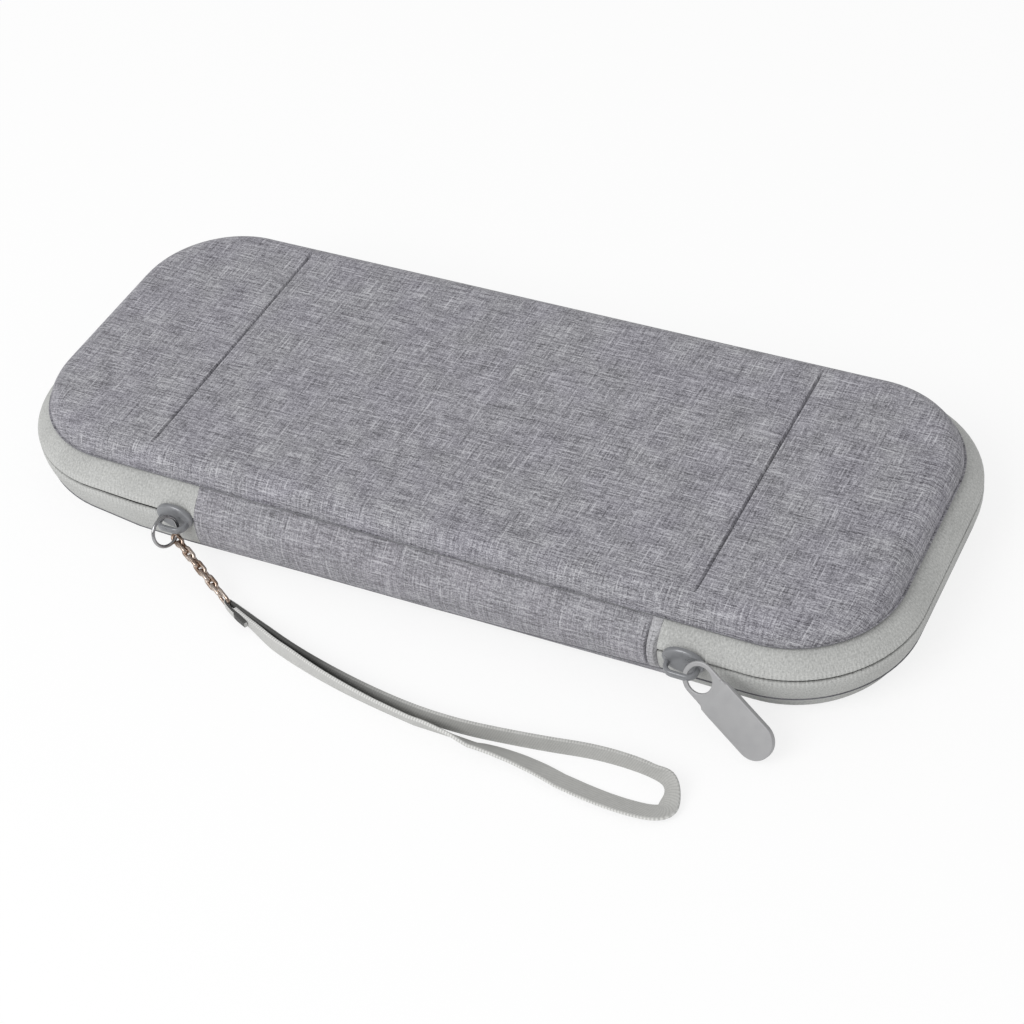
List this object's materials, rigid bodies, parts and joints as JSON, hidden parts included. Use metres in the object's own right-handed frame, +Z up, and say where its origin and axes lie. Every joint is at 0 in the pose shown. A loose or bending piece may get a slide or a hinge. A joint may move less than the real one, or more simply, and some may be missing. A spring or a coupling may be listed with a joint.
{
  "type": "portable game console case",
  "caption": "Slim zippered hard carry case with a fabric-covered lid and base, a fabric spine, two zip sliders, a flat pull tab and a chain with a wrist strap loop.",
  "frame": {"origin": "on the table under the middle of the base's flat bottom", "axes": "+X along the case to the right, -Y to the spine side with the strap, +Z up from the base to the lid"},
  "size_m": [0.272, 0.1541, 0.0288],
  "materials": {
    "melange_fabric": "moulded melange fabric",
    "lining_fabric": "brushed lining",
    "zip_tape": "matt woven tape",
    "zip_coil": "nylon coil",
    "slider_metal": "satin paint",
    "chain_metal": "bright plated wire",
    "webbing": "flat woven webbing",
    "pocket_mesh": "open net"
  },
  "bodies": {
    "base": {"bottom_shell": "melange_fabric", "lower_zip_tape": "zip_tape", "lower_zip_coil": "zip_coil", "lower_binding": "lining_fabric", "hinge_strip": "melange_fabric", "hinge_lining": "lining_fabric", "right_zip_stop": "slider_metal", "left_zip_stop": "slider_metal"},
    "lid": {"top_shell": "melange_fabric", "upper_zip_tape": "zip_tape", "upper_zip_coil": "zip_coil", "upper_binding": "lining_fabric", "mesh_pocket": "pocket_mesh", "pocket_hem": "lining_fabric"},
    "tab_carriage": {"tab_slider": "slider_metal"},
    "pull": {"pull_tab": "slider_metal"},
    "strap_carriage": {"strap_slider": "slider_metal"},
    "strap": {"strap_ring": "chain_metal", "chain_link_1": "chain_metal", "chain_link_2": "chain_metal", "chain_link_3": "chain_metal", "chain_link_4": "chain_metal", "chain_link_5": "chain_metal", "chain_link_6": "chain_metal", "chain_link_7": "chain_metal", "chain_link_8": "chain_metal", "strap_link": "chain_metal", "wrist_strap": "webbing"}
  },
  "joints": [
    {"name": "lid_hinge", "type": "hinge", "parent": "base", "child": "lid", "pos_m": [0, -0.0565, 0.0155], "axis": [1, 0, 0], "range_deg": [0, 100], "deforming": ["hinge_strip", "hinge_lining", "upper_zip_tape", "upper_zip_coil"]},
    {"name": "tab_slide", "type": "slide", "parent": "base", "child": "tab_carriage", "axis": [1, 0, 0], "range_m": [0, 0.0102]},
    {"name": "pull_swing", "type": "hinge", "parent": "tab_carriage", "child": "pull", "pos_m": [0.0886, -0.0607, 0.0155], "axis": [-0.11, -0.879, 0.464], "range_deg": [0, 30]},
    {"name": "strap_slide", "type": "slide", "parent": "base", "child": "strap_carriage", "axis": [-1, 0, 0], "range_m": [0, 0.0195]},
    {"name": "strap_swing", "type": "hinge", "parent": "strap_carriage", "child": "strap", "pos_m": [-0.07154, -0.05928, 0.0155], "axis": [0, 0, -1], "range_deg": [0, 60]}
  ]
}
